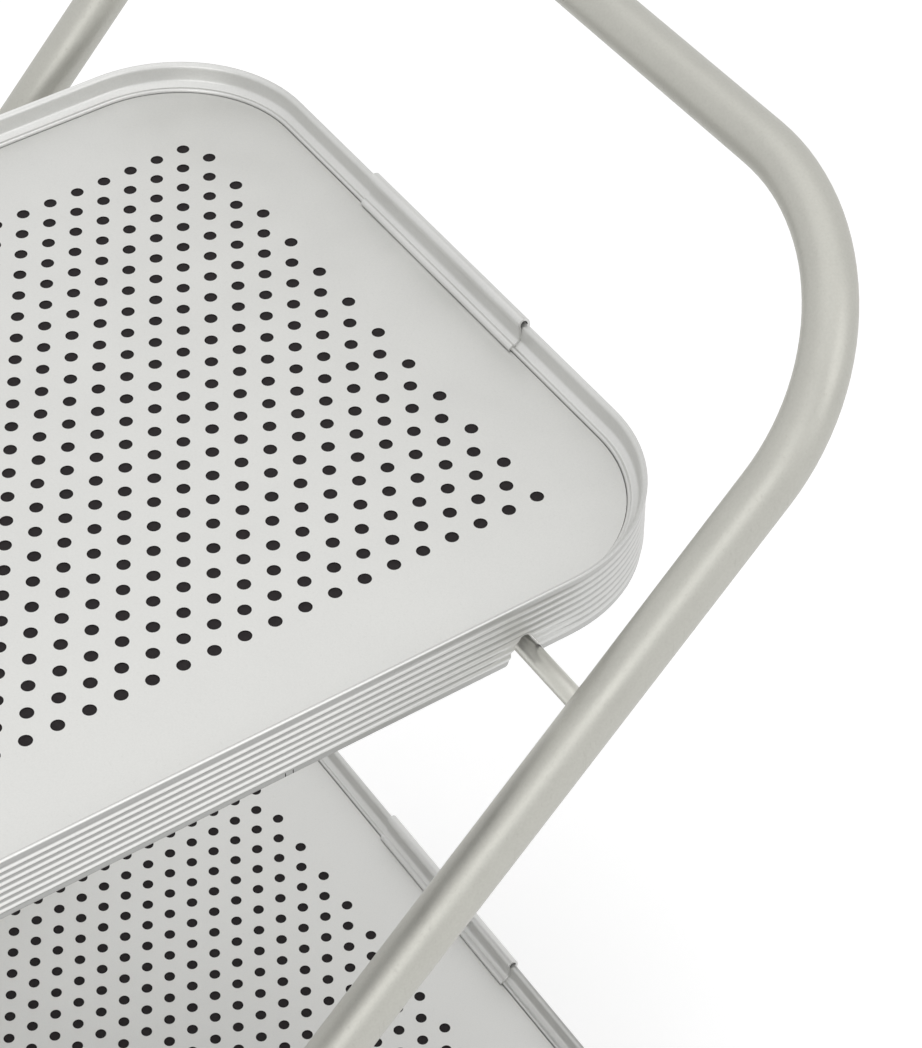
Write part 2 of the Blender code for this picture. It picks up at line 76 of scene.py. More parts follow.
# ---------------------------------------------------------------- places, from the frame
JOINTS = {joint["name"]: joint for joint in frame["joints"]}
PIVOT_Z = JOINTS["fold"]["pos_m"][2]
_, FRONT_ROD_Y, UPPER_ROD_Z = JOINTS["upper_tray_swing"]["pos_m"]
ROD_Y = -FRONT_ROD_Y
LOWER_ROD_Z = JOINTS["lower_tray_tilt"]["pos_m"][2]
OUTER_X, FRONT_FOOT_Y, CASTER_HEIGHT = JOINTS["swivel_front_right"]["pos_m"]
FOOT_Y = -FRONT_FOOT_Y
INNER_X = JOINTS["swivel_rear_right"]["pos_m"][0]
OUTER_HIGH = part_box("outer_frame_tube")[1]
TUBE_RADIUS = OUTER_HIGH.x - OUTER_X
LEG_ANGLE = math.atan2(UPPER_ROD_Z - PIVOT_Z, ROD_Y)
COS_LEG, SIN_LEG = math.cos(LEG_ANGLE), math.sin(LEG_ANGLE)
ROD_REACH = ROD_Y / COS_LEG
HANDLE_REACH = (OUTER_HIGH.z - TUBE_RADIUS - PIVOT_Z) / SIN_LEG
ROD_LOW, ROD_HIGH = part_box("upper_rear_rod")
ROD_RADIUS = (ROD_HIGH.z - ROD_LOW.z) / 2
TRAYS = {"upper": UPPER_ROD_Z, "lower": LOWER_ROD_Z}
SHEET_LOW, SHEET_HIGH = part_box("upper_tray_sheet")
RIM_LOW, RIM_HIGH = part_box("upper_rim")
BOARD_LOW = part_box("upper_tray_board")[0]
BLOCK_LOW, BLOCK_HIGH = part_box("upper_hinge_block_right")
TYRE_LOW, TYRE_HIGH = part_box("tyre_front_right")
SHEET_ABOVE_ROD = SHEET_HIGH.z - UPPER_ROD_Z
BLOCK_TOP = BLOCK_HIGH.z - UPPER_ROD_Z
WHEEL_RADIUS = (TYRE_HIGH.z - TYRE_LOW.z) / 2
TYRE_WIDTH = TYRE_HIGH.x - TYRE_LOW.x
TRAIL = FRONT_FOOT_Y - (TYRE_LOW.y + TYRE_HIGH.y) / 2

# ---------------------------------------------------------------- sizes of what the frame leaves plain
GAP = 0.0003                    # clearance between pieces
EDGE_ROUNDING = 0.0005          # of the moulded and folded parts
HANDLE_BEND_RADIUS = 0.100
FOOT_BEND_RADIUS = 0.040
FOOT_RUN = 0.020
BEND_STEPS = 28
CORNER_STEPS = 24
FINE_STEPS = 48                 # round a turned piece
CUT_LENGTH = 0.08               # of a cutter that goes right through
MERGE_DISTANCE = 1e-6
SMOOTH = 35                     # degrees, the sharpest edge that is still shaded smooth
TUBE_SMOOTH, RIM_SMOOTH, SLEEVE_SMOOTH = 60, 50, 40
ROUNDED_FROM = 40               # degrees, the bluntest edge that a rounding takes in

RIM_DEPTH = RIM_HIGH.x - SHEET_HIGH.x - GAP
RIM_DROP = 0.0004               # how much lower the rim reaches than the CAD rim
RIM_BOTTOM = RIM_LOW.z - SHEET_HIGH.z - RIM_DROP
EDGE_X, EDGE_Y = SHEET_HIGH.x + GAP, SHEET_HIGH.y + GAP
RIM_CORNER_RADIUS = 0.070
EDGE_RADIUS = RIM_CORNER_RADIUS - RIM_DEPTH
STRAIGHT_STEP = 0.020           # between the stations along a straight side
# points of the rim's section: outwards from the sheet's edge, and up from the sheet's face
LEDGE = [(0, 0.0002), (0.0001, 0.0010), (0.0006, 0.0017), (0.0012, 0.0017), (0.0018, 0.0016),
         (0.0023, 0.0018), (0.0028, 0.0022), (0.0034, 0.0027), (0.0040, 0.0032), (0.0046, 0.0040),
         (0.0050, 0.0058), (0.0052, 0.0078), (0.0053, 0.0100)]
LIP_SLOPE = [(0.0055, 0.0108), (0.0061, 0.0116)]
LIP_HEIGHT = 0.0120
LIP_EDGE = 0.0004               # radius of the rim's top edge, at the end of its sloping lip
BAND_HEIGHTS = (0.0110, 0.0100)
RIB_COUNT = 7
RIB_PITCH = 0.00374
RIB_STEPS = 10
RIB_HEIGHT = 0.0006
RIB_TOP = 0.0083
RIB_FULLNESS = 0.65             # below 1, the ribs are fuller than a wave
FOOT_HEIGHTS = (0.0016, 0.0009, 0.0003)  # above the rim's bottom edge
RIM_WALL = 0.0022
RIM_WALL_EDGE = 0.0004
FLANGE_REACH = 0.0060           # of the rim's flange under the board
FLANGE_DEPTHS = (0.0005, 0.0018)  # of its top and its underside below the board
CHANNEL = (0.0031, 0.0004)      # depth of the groove that holds sheet and board, and its top below the sheet
# after the plain finish: the board's finish as painted shade on the cut walls, the ribbed finish with painted
# highlight and shade, the band finish with painted shade
RIM_FINISHES = ("rim_aluminium", "dark_board", "ribbed_aluminium", "band_aluminium")
PAINTED_SHADE_WALL, RIBS_PAINTED_LIGHT, BANDS_PAINTED_SHADE = 1, 2, 3  # their places in the piece, after the plain one

# points of the notches: along the rim, and up from the rod's axis
NOTCH_BACK = (0.0066, -0.0027)
NOTCH_TOP = ((-0.0050, 0.0110), 0.00385, 28, 150, 18)  # an arc
NOTCH_FRONT = [(-0.0113, 0.0075), (-0.0120, 0.0052), (-0.0125, 0.0030), (-0.0130, 0.0019), (-0.0138, 0.0013),
               (-0.0140, 0.0008)]
HALF_ROUND_CLEARANCE = 0.0015   # round the rod, in the notches on the hinge side
NOTCH_INSET = 0.0010
NOTCH_DEPTH = 0.0060
NOTCH_PAST_RIM = 0.004
SLOT_PLACES = (0.1030, 0.1065)  # along the rim, of the two short slots in its bottom band
SLOT_SIZE = (0.0004, 0.0022)
SLOT_ABOVE_EDGE = 0.0002
SLOT_CUT = 0.0008               # twice the slot's depth

HOLE_PITCH = 0.0140
HOLE_RADIUS = 0.00295
HOLE_SIDES = 20
HOLE_ROWS = 24
HOLES_IN_ROW = 37               # the rows between them have one more
SKIN = SHEET_HIGH.z - SHEET_LOW.z  # thickness of the perforated sheet
BOARD_GAP = 0.00005

# the sleeve's middle line: outwards from the sheet's edge, and up from the sheet's face or, in the hem, down
# from the rim's bottom edge
SLEEVE_LEDGE = [(-0.0006, 0.0006), (-0.0005, 0.0012), (0, 0.0019), (0.0006, 0.0023), (0.0013, 0.0023),
                (0.0019, 0.0024), (0.0025, 0.0028), (0.0031, 0.0033), (0.0037, 0.0039), (0.0042, 0.0049),
                (0.0045, 0.0066), (0.0046, 0.0084), (0.0045, 0.0102)]
SLEEVE_ROLL = [(0.0045, 0.0102), (0.0041, 0.0118), (0.0045, 0.0134), (0.0059, 0.0145), (0.0075, 0.0143),
               (0.0087, 0.0131), (0.0091, 0.0114), (0.0089, 0.0095), (0.0084, 0.0080)]
SLEEVE_HEM = [(0.0084, 0.0004), (0.0082, 0.0007), (0.0078, 0.0009), (0.0062, 0.0009)]
SLEEVE_ENDS = (-0.0591, 0.0602)
SLEEVE_THICKNESS = 0.0012

BLOCK_LENGTH = BLOCK_HIGH.x - BLOCK_LOW.x
BLOCK_X = (BLOCK_HIGH.x + BLOCK_LOW.x) / 2
BLOCK_HALF_BASE = 0.016
BLOCK_FOOT = 0.0038             # thickness of the block's flange
BLOCK_WALL = 0.0042
HOOK_DEPTH = 0.0075
HOOK_SHOULDER = (0.004, 0.0014)
BORE_RADIUS = ROD_RADIUS + GAP
SCREW_RADIUS = 0.0026
SCREW_HEIGHT = 0.0015
SCREW_RECESS = (0.0003, 0.0016)  # half width and half length of an arm
SCREW_CUT = 0.0016              # twice the recess's depth
HINGE_SCREWS = ((0, 0.0128), (0, -0.0128))
HOOK_SCREWS = ((0.006, 0.0128), (-0.006, 0.0128))

RIVET_RADIUS = 0.0040
RIVET_HEAD_RADIUS = 0.0080
RIVET_DOME_HEIGHT = 0.0032
RIVET_TAIL_HEIGHT = 0.0018
RIVET_TAIL_EDGE = 0.0010
RIVET_HOLLOW = ((0.0022, 0), (0.0016, 0.0010), (0, 0.0012))  # radius and depth in the tail's end
WASHER_RADIUS = 0.0095
WASHER_EDGE = 0.0004

COLLAR = 0.0035                 # height of the socket's collar
GROOVE_HALF_WIDTH = 0.0006
GROOVE_DEPTH = 0.0004
STEM_RADIUS = 0.0040
FORK_PLATE = 0.0022
FORK_CLEARANCE = 0.0012
FORK_CROWN = 0.0040
FORK_HALF_LENGTH = 0.0125
FORK_BOSS = 0.0035              # metal round the axle's hole
FORK_ROUNDING = 0.0025
FORK_FOLD = 0.0015              # inner radius of the folded crown
FORK_HEEL = 0.0020
AXLE_RADIUS = 0.0030
AXLE_HEAD_RADIUS = 0.0050
AXLE_HEAD = ((0.45, 0.0001), (0.8, 0.0004), (1, 0.0011))  # part of the head's radius, and depth under its top
AXLE_HEAD_HEIGHT = 0.0014
HUB_HALF_WEB = 0.0030
HUB_COLLAR_RADIUS = 0.0066
HUB_COLLAR_EDGE = 0.0004
HUB_FILLET = 0.0012
HUB_RIM = 0.0020
HUB_INSET = 0.0010              # of the hub's rim from the tyre's side
SPOKES = 6
SPOKE_START = 0.0050
SPOKE_IN_RIM = 0.0002
SPOKE_HALF_WIDTH = 0.0006
SPOKE_INSET = 0.0015
TYRE_THICKNESS = 0.0060
TYRE_BEAD = (0.0012, 0.0010)    # slope beside the hub's rim
TYRE_SHOULDER = 0.0034
TYRE_FALL = 1.3                 # of the shoulder, where the flat tread begins

ACROSS = Matrix(((0, 0, 1), (1, 0, 0), (0, 1, 0))).to_4x4()     # outline in Y-Z, thickness along X
ALONG = Matrix(((1, 0, 0), (0, 0, 1), (0, 1, 0))).to_4x4()      # outline in X-Z, thickness along Y
TURNED_ON_X = Matrix(((0, 0, 1), (0, 1, 0), (-1, 0, 0))).to_4x4()  # a turned piece's axis laid along X


# ---------------------------------------------------------------- mesh tools
def arc(centre, radius, start, end, steps):
    angles = [math.radians(start + (end - start) * i / steps) for i in range(steps + 1)]
    return [(centre[0] + radius * math.cos(a), centre[1] + radius * math.sin(a)) for a in angles]


def rounded_rectangle(half_x, half_y, radius, steps):
    points = []
    for sx, sy, start in ((1, 1, 0), (-1, 1, 90), (-1, -1, 180), (1, -1, 270)):
        points += arc((sx * (half_x - radius), sy * (half_y - radius)), radius, start, start + 90, steps)
    return points


def rectangle(half_x, half_y):
    return [(half_x, half_y), (-half_x, half_y), (-half_x, -half_y), (half_x, -half_y)]


def eased(points, steps):
    """A Catmull-Rom curve through the points, with steps stretches between each pair."""
    ends = [points[0]] + list(points) + [points[-1]]
    made = []
    for p0, p1, p2, p3 in zip(ends, ends[1:], ends[2:], ends[3:]):
        for i in range(steps):
            t = i / steps
            made.append(tuple(
                b + 0.5 * t * (c - a + t * (2 * a - 5 * b + 4 * c - d + t * (3 * b - a - 3 * c + d)))
                for a, b, c, d in zip(p0, p1, p2, p3)))
    return made + [tuple(points[-1])]


def baked(source, name, smooth_degrees=SMOOTH):
    """A mesh object of what a curve, or a mesh with modifiers, shows, in place. The source is removed."""
    bpy.context.scene.collection.objects.link(source)
    bpy.context.view_layer.update()
    mesh = bpy.data.meshes.new_from_object(source.evaluated_get(bpy.context.evaluated_depsgraph_get()))
    mesh.transform(source.matrix_world)
    bpy.data.objects.remove(source)
    shape = bmesh.new()
    shape.from_mesh(mesh)
    bmesh.ops.remove_doubles(shape, verts=shape.verts, dist=MERGE_DISTANCE)
    bmesh.ops.recalc_face_normals(shape, faces=shape.faces)
    shape.to_mesh(mesh)
    shape.free()
    mesh.shade_smooth()
    mesh.set_sharp_from_angle(angle=math.radians(smooth_degrees))
    piece = bpy.data.objects.new(name, mesh)
    bpy.context.scene.collection.objects.link(piece)
    return piece


def mesh_source(name, vertices, edges, faces):
    mesh = bpy.data.meshes.new(name)
    mesh.from_pydata(vertices, edges, faces)
    return bpy.data.objects.new(f"{name}_source", mesh)


def add_spline(curve, points, cyclic):
    spline = curve.splines.new("POLY")
    spline.points.add(len(points) - 1)
    for target, point in zip(spline.points, points):
        target.co = (*point, 0, 1) if len(point) == 2 else (*point, 1)
    spline.use_cyclic_u = cyclic


def swept_round(name, section, half_x, half_y, radius, height, slots):
    """A closed section of (outwards, up) points carried round a rounded rectangle.

    The slots are the material slots of the section's stretches, by number, where they are not the first.
    """
    stations = []
    for sx, sy, start in ((1, 1, 0), (-1, 1, 90), (-1, -1, 180), (1, -1, 270)):
        for i in range(CORNER_STEPS + 1):
            angle = math.radians(start + 90 * i / CORNER_STEPS)
            out = (math.cos(angle), math.sin(angle))
            centre = (sx * (half_x - radius), sy * (half_y - radius))
            stations.append((centre[0] + radius * out[0], centre[1] + radius * out[1], out))
        along = (-out[1], out[0])
        run = 2 * (abs(along[0]) * (half_x - radius) + abs(along[1]) * (half_y - radius))
        x, y, _ = stations[-1]
        steps = round(run / STRAIGHT_STEP)
        for i in range(1, steps):
            part = run * i / steps
            stations.append((x + along[0] * part, y + along[1] * part, out))
    vertices = [(x + u * out[0], y + u * out[1], height + z) for x, y, out in stations for u, z in section]
    count, around = len(section), len(stations)
    faces = []
    for i in range(around):
        for j in range(count):
            k, following = (j + 1) % count, (i + 1) % around
            faces.append((i * count + j, following * count + j, following * count + k, i * count + k))
    source = mesh_source(name, vertices, [], faces)
    for face in source.data.polygons:
        face.material_index = slots.get(face.index % count, 0)
    return baked(source, name, RIM_SMOOTH)


def turned(name, profile, matrix, ring=False, steps=FINE_STEPS):
    """A profile of (radius, height) turned about its own Z, down its outside. A ring's profile closes."""
    last = [(len(profile) - 1, 0)] if ring else []
    edges = [(i, i + 1) for i in range(len(profile) - 1)] + last
    source = mesh_source(name, [(r, 0, z) for r, z in profile], edges, [])
    source.matrix_world = matrix
    turn = source.modifiers.new("turn", "SCREW")
    turn.axis = "Z"
    turn.steps = steps
    turn.render_steps = steps
    turn.use_merge_vertices = True
    turn.merge_threshold = 10 * MERGE_DISTANCE
    return baked(source, name)


def plate(name, outlines, thickness, matrix):
    curve = bpy.data.curves.new(name, "CURVE")
    curve.dimensions = "2D"
    curve.fill_mode = "BOTH"
    curve.extrude = thickness / 2
    for outline in outlines:
        add_spline(curve, outline, True)
    source = bpy.data.objects.new(f"{name}_source", curve)
    source.matrix_world = matrix
    return baked(source, name)


def combine(piece, others, operation="DIFFERENCE", edge=0.0, smooth_degrees=SMOOTH):
    """Cuts or joins the others, rounds the edges if asked, and applies it all. The others are removed."""
    for other in others:
        step = piece.modifiers.new("combine", "BOOLEAN")
        step.operation = operation
        step.object = other
        step.solver = "EXACT"
    if edge:
        rounding = piece.modifiers.new("edges", "BEVEL")
        rounding.width = edge
        rounding.segments = 2
        rounding.angle_limit = math.radians(ROUNDED_FROM)
    bpy.context.view_layer.update()
    mesh = bpy.data.meshes.new_from_object(piece.evaluated_get(bpy.context.evaluated_depsgraph_get()))
    piece.modifiers.clear()
    piece.data = mesh
    for other in others:
        bpy.data.objects.remove(other)
    mesh.shade_smooth()
    mesh.set_sharp_from_angle(angle=math.radians(smooth_degrees))
    return piece


# ---------------------------------------------------------------- materials
RIM_METAL = ((0.625, 0.625, 0.61), (0.665, 0.665, 0.65), (0.36, 0.44), 0.75, 800, 0.05)
CLOUD_SCALE = 35                # of the broad, faint clouds in tone and roughness
CLOUD_RANGE = (0.3, 0.7)
TONE_STOPS = (0.35, 0.65)
GRAIN_DEPTH = 0.0002
SCUFF_TURN = (0.4, 0.5, 0.7)
SCUFF_SCALE = (900, 900, 25)
SCUFF_RANGE = (0.66, 0.72)
POINTINESS = (0.497, 0.510)     # of the ribs' hollows and of their crests
LIGHT_AND_SHADE_FADE = (0.10, 0.29)      # along Y, from the middle, where the painted highlight and shade on the rim begin and end to fade
# the part of the painted highlight and shade that is left far along the rim
LIGHT_AND_SHADE_LEFT = 0.2


def add_node(tree, kind, output, inputs, operation=None):
    """Adds a node whose inputs are sockets or constants, and gives one of its outputs."""
    made = tree.nodes.new(kind)
    if operation:
        made.operation = operation
    for name, value in inputs.items():
        if isinstance(value, bpy.types.NodeSocket):
            tree.links.new(value, made.inputs[name])
        else:
            made.inputs[name].default_value = value
    return made.outputs[output]


def noise(tree, place, scale, detail):
    return add_node(tree, "ShaderNodeTexNoise", "Fac", {"Vector": place, "Scale": scale, "Detail": detail})


def remapped(tree, value, source, target):
    """The value carried from one range into another."""
    ranges = {"From Min": source[0], "From Max": source[1], "To Min": target[0], "To Max": target[1]}
    return add_node(tree, "ShaderNodeMapRange", "Result", {"Value": value, **ranges})


def painted_relief_light(tree, place, hollow, crest, far):
    """Painted shade at hollow and painted highlight at crest, by how pointed the surface is, fading towards
    far along the rim.
    """
    pointed = tree.nodes.new("ShaderNodeNewGeometry").outputs["Pointiness"]
    near = remapped(tree, pointed, POINTINESS, (hollow, crest))
    y = add_node(tree, "ShaderNodeSeparateXYZ", "Y", {"Vector": place})
    off_middle = add_node(tree, "ShaderNodeMath", "Value", {0: y}, "ABSOLUTE")
    strength = remapped(tree, off_middle, LIGHT_AND_SHADE_FADE, (1, LIGHT_AND_SHADE_LEFT))
    return add_node(tree, "ShaderNodeMix", "Result", {"Factor": strength, "A": far, "B": near})


def finish_material(name, dark, light, rough, metallic, grain, bump, specular=0.5, scuffs=0.0, light_and_shade=None):
    """A Principled finish: cloudy tone and roughness, a fine grain, thin scuffs, and, where asked, painted
    highlights on its crests and painted shade in its hollows.
    """
    made = bpy.data.materials.new(name)
    made.use_nodes = True
    tree = made.node_tree
    shader = tree.nodes["Principled BSDF"]
    shader.inputs["Metallic"].default_value = metallic
    shader.inputs["Specular IOR Level"].default_value = specular
    place = tree.nodes.new("ShaderNodeTexCoord").outputs["Object"]
    broad = noise(tree, place, CLOUD_SCALE, 3)
    fine = noise(tree, place, grain, 2)
    both = add_node(tree, "ShaderNodeMix", "Result", {"Factor": 0.5, "A": broad, "B": fine})
    ramp = tree.nodes.new("ShaderNodeValToRGB")
    for stop, position, shade in zip(ramp.color_ramp.elements, TONE_STOPS, (dark, light)):
        stop.position = position
        stop.color = (*shade, 1)
    tree.links.new(both, ramp.inputs["Fac"])
    colour = ramp.outputs["Color"]
    # painted highlight and shade scale the colour here
    if light_and_shade:
        scaled = {"Vector": colour, "Scale": painted_relief_light(tree, place, *light_and_shade)}
        colour = add_node(tree, "ShaderNodeVectorMath", "Vector", scaled, "SCALE")
    tree.links.new(colour, shader.inputs["Base Color"])
    gloss = remapped(tree, broad, CLOUD_RANGE, rough)
    if scuffs:
        stretched = {"Vector": place, "Rotation": SCUFF_TURN, "Scale": SCUFF_SCALE}
        streak = noise(tree, add_node(tree, "ShaderNodeMapping", "Vector", stretched), 1, 1)
        thin = remapped(tree, streak, SCUFF_RANGE, (0, scuffs))
        gloss = add_node(tree, "ShaderNodeMath", "Value", {0: gloss, 1: thin}, "ADD")
    tree.links.new(gloss, shader.inputs["Roughness"])
    raised = {"Strength": bump, "Distance": GRAIN_DEPTH, "Height": fine}
    tree.links.new(add_node(tree, "ShaderNodeBump", "Normal", raised), shader.inputs["Normal"])
    return made


FINISHES = {
    "frame_tube": finish_material(
        "tube_satin", (0.475, 0.470, 0.430), (0.515, 0.510, 0.467), (0.38, 0.46), 0.65, 900, 0.05,
        scuffs=0.15),
    "rod_and_rivet_steel": finish_material(
        "rod_satin", (0.66, 0.655, 0.605), (0.71, 0.705, 0.65), (0.30, 0.38), 0.5, 700, 0.08, scuffs=0.15),
    "rim_aluminium": finish_material("rim_aluminium", *RIM_METAL),
    # lip bead and ribs: painted highlights on the crests, painted shade in the hollows, and painted shade
    # over the whole wall far along the rim
    "ribbed_aluminium": finish_material("rim_ribbed_painted_light", *RIM_METAL, light_and_shade=(0.60, 1.28, 0.86)),
    # the flat bands above and below the ribs: painted shade, darkest near the middle of the long sides
    "band_aluminium": finish_material("rim_band_painted_shade", *RIM_METAL, light_and_shade=(0.64, 0.64, 0.86)),
    "tray_sheet": finish_material(
        "sheet_grey", (0.650, 0.650, 0.632), (0.685, 0.685, 0.666), (0.42, 0.50), 0.75, 1400, 0.06,
        scuffs=0.12),
    "dark_board": finish_material(
        "board_charcoal", (0.020, 0.017, 0.018), (0.030, 0.026, 0.027), (0.7, 0.85), 0.0, 600, 0.3,
        specular=0.15),
    "dark_plastic": finish_material(
        "plastic_black", (0.028, 0.028, 0.029), (0.045, 0.045, 0.046), (0.4, 0.6), 0.0, 900, 0.2, scuffs=0.2),
    "caster_steel": finish_material(
        "caster_steel", (0.50, 0.50, 0.49), (0.60, 0.60, 0.59), (0.25, 0.4), 1.0, 500, 0.08, scuffs=0.2),
    "tyre_rubber": finish_material(
        "tyre_grey", (0.035, 0.036, 0.038), (0.06, 0.06, 0.062), (0.6, 0.85), 0.0, 500, 0.35),
}
SLOTS = {subpart["node"]: subpart["material_slot"] for subpart in frame["record"]["subparts"]}
for node_name, slot_name in SLOTS.items():
    node = frame["nodes"][node_name]
    node.data.materials.clear()
    node.data.materials.append(FINISHES[slot_name])


def stand_for(piece, node_name, *others):
    """Gives a piece the finishes and the body of the CAD node that it replaces."""
    finish_of_faces = [face.material_index for face in piece.data.polygons]
    piece.data.materials.clear()
    for finish in (SLOTS[node_name], *others):
        piece.data.materials.append(FINISHES[finish])
    piece.data.polygons.foreach_set("material_index", finish_of_faces)
    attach(piece, body_of(frame["nodes"][node_name])[0])
    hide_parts(node_name)
    return piece


# ---------------------------------------------------------------- frames
def leg_point(facing, reach):
    return facing * reach * COS_LEG, PIVOT_Z + reach * SIN_LEG


def frame_tube(node_name, facing, half_width):
    """A U of round tube: upright feet, bends, straight legs, and the two bends of the handle."""
    foot_y, foot_z = leg_point(facing, -(ROD_REACH + FOOT_RUN))
    half = []
    for i in range(BEND_STEPS + 1):
        angle = math.pi / 2 + (LEG_ANGLE - math.pi / 2) * i / BEND_STEPS
        y = foot_y - facing * FOOT_BEND_RADIUS * (math.sin(angle) - SIN_LEG)
        half.append((half_width, y, foot_z + FOOT_BEND_RADIUS * (math.cos(angle) - COS_LEG)))
    half.insert(0, (half_width, half[0][1], CASTER_HEIGHT))
    for i in range(BEND_STEPS + 1):
        angle = math.pi / 2 * i / BEND_STEPS
        reach = HANDLE_REACH - HANDLE_BEND_RADIUS * (1 - math.sin(angle))
        x = half_width - HANDLE_BEND_RADIUS * (1 - math.cos(angle))
        half.append((x, *leg_point(facing, reach)))
    curve = bpy.data.curves.new(node_name, "CURVE")
    curve.dimensions = "3D"
    curve.bevel_depth = TUBE_RADIUS
    curve.bevel_resolution = 14
    curve.use_fill_caps = True
    add_spline(curve, half + [(-x, y, z) for x, y, z in reversed(half)], False)
    source = bpy.data.objects.new(f"{node_name}_source", curve)
    stand_for(baked(source, f"{node_name}_shown", TUBE_SMOOTH), node_name)


def cross_rod(node_name, facing, reach):
    """A rod whose ends run into the legs; the holes drilled for them are not drawn."""
    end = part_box(node_name)[1].x
    profile = [(0, end), (ROD_RADIUS, end), (ROD_RADIUS, -end), (0, -end)]
    place = Matrix.Translation((0, *leg_point(facing, reach))) @ TURNED_ON_X
    stand_for(turned(f"{node_name}_shown", profile, place), node_name)


def pivot(side, label):
    """The domed rivet through both frames, and the washer between their tubes."""
    outside, inside = OUTER_X + TUBE_RADIUS + GAP, INNER_X - TUBE_RADIUS - GAP
    squash = RIVET_DOME_HEIGHT / RIVET_HEAD_RADIUS
    dome = arc((0, 0), RIVET_HEAD_RADIUS, 90, 8, 12)
    profile = [(max(r, 0), outside + x * squash) for r, x in dome] + [(RIVET_HEAD_RADIUS, outside)]
    profile += [(RIVET_RADIUS, outside), (RIVET_RADIUS, inside), (RIVET_HEAD_RADIUS, inside)]
    tail, soft = inside - RIVET_TAIL_HEIGHT, RIVET_TAIL_EDGE
    profile += arc((RIVET_HEAD_RADIUS - soft, tail + soft), soft, 0, -90, 4)
    profile += [(radius, tail + depth) for radius, depth in RIVET_HOLLOW]
    profile[0] = (0, profile[0][1])
    facing = Matrix.Rotation(0 if side > 0 else math.pi, 4, "Z")
    place = Matrix.Translation((0, 0, PIVOT_Z)) @ facing @ TURNED_ON_X
    stand_for(turned(f"pivot_rivet_{label}_shown", profile, place), f"pivot_rivet_{label}")
    near, far = INNER_X + TUBE_RADIUS + GAP, OUTER_X - TUBE_RADIUS - GAP
    bore, soft = RIVET_RADIUS + GAP, WASHER_EDGE
    ring = [(bore, far), (WASHER_RADIUS - soft, far), (WASHER_RADIUS, far - soft)]
    ring += [(WASHER_RADIUS, near + soft), (WASHER_RADIUS - soft, near), (bore, near)]
    stand_for(turned(f"pivot_washer_{label}_shown", ring, place, ring=True), f"pivot_washer_{label}")


# ---------------------------------------------------------------- trays
def rim_section():
    """The rim's section as (outwards from the sheet's edge, up from the sheet's face), and its slots."""
    board = BOARD_LOW.z - SHEET_HIGH.z
    ledge = eased(LEDGE, 4)
    slope = eased([LEDGE[-1], *LIP_SLOPE, (RIM_DEPTH - GAP, LIP_HEIGHT + LIP_EDGE)], 4)[1:-1]
    bead = slope + arc((RIM_DEPTH, LIP_HEIGHT), LIP_EDGE, 120, 0, 6)
    valley = RIM_DEPTH - RIB_HEIGHT
    face = [(RIM_DEPTH + LIP_EDGE, LIP_HEIGHT - LIP_EDGE)]
    face += [(valley, z) for z in (*BAND_HEIGHTS, RIB_TOP + GAP)]
    ribs = []
    for i in range(RIB_COUNT * RIB_STEPS + 1):
        across = 2 * (i % RIB_STEPS) / RIB_STEPS - 1
        bulge = ((1 + math.cos(math.pi * across)) / 2) ** RIB_FULLNESS
        ribs.append((RIM_DEPTH - RIB_HEIGHT * (1 - bulge), RIB_TOP - RIB_PITCH * i / RIB_STEPS))
    foot = [(valley, RIB_TOP - RIB_COUNT * RIB_PITCH - RIB_HEIGHT)]
    foot += [(valley, RIM_BOTTOM + z) for z in FOOT_HEIGHTS]
    inside = RIM_DEPTH - RIM_WALL
    foot += [(valley - GAP, RIM_BOTTOM), (inside + RIM_WALL_EDGE, RIM_BOTTOM)]
    foot.append((inside, RIM_BOTTOM + RIM_WALL_EDGE))
    top, underside = board - FLANGE_DEPTHS[0], board - FLANGE_DEPTHS[1]
    flange = [(inside, underside), (-FLANGE_REACH, underside), (-FLANGE_REACH, top)]
    channel = [(CHANNEL[0], top), (CHANNEL[0], -CHANNEL[1]), (0, -CHANNEL[1])]
    first_bead, last_bead = len(ledge + slope) - 2, len(ledge + bead) - 1
    first_rib = len(ledge + bead + face)
    last_rib = first_rib + len(ribs) - 1
    # painted highlight and shade on the lip bead and the ribs
    slots = {i: RIBS_PAINTED_LIGHT for i in (*range(first_bead, last_bead), *range(first_rib, last_rib))}
    # painted shade on the flat bands above and below the ribs
    top_band = range(first_rib - 3, first_rib)
    bottom_band = range(last_rib, last_rib + len(foot))
    slots.update({i: BANDS_PAINTED_SHADE for i in (*top_band, *bottom_band)})
    return ledge + bead + face + ribs + foot + flange + channel, slots


def notch(tray, end, side):
    """The opening in a rim's side wall that a rod passes through, its front side slanted at the rear rod."""
    bottom = SHEET_ABOVE_ROD + RIM_BOTTOM - NOTCH_PAST_RIM
    if end > 0:
        outline = [(NOTCH_BACK[0], bottom), NOTCH_BACK] + arc(*NOTCH_TOP) + NOTCH_FRONT
        outline.append((NOTCH_FRONT[-1][0], bottom))
    else:
        hollow = ROD_RADIUS + HALF_ROUND_CLEARANCE
        outline = [(hollow, bottom)] + arc((0, 0), hollow, 0, 180, 24) + [(-hollow, bottom)]
    place = Matrix.Translation((side * (EDGE_X + RIM_DEPTH - NOTCH_INSET), end * ROD_Y, TRAYS[tray])) @ ACROSS
    return plate(f"{tray}_notch", [outline], NOTCH_DEPTH, place)


def slot(tray, y):
    """A shallow upright slot in the bottom band of the rim's right side."""
    half_y, half_z = SLOT_SIZE[0] / 2, SLOT_SIZE[1] / 2
    middle = TRAYS[tray] + SHEET_ABOVE_ROD + RIM_BOTTOM + SLOT_ABOVE_EDGE + half_z
    place = Matrix.Translation((EDGE_X + RIM_DEPTH - RIB_HEIGHT, y, middle)) @ ACROSS
    return plate(f"{tray}_slot", [rectangle(half_y, half_z)], SLOT_CUT, place)


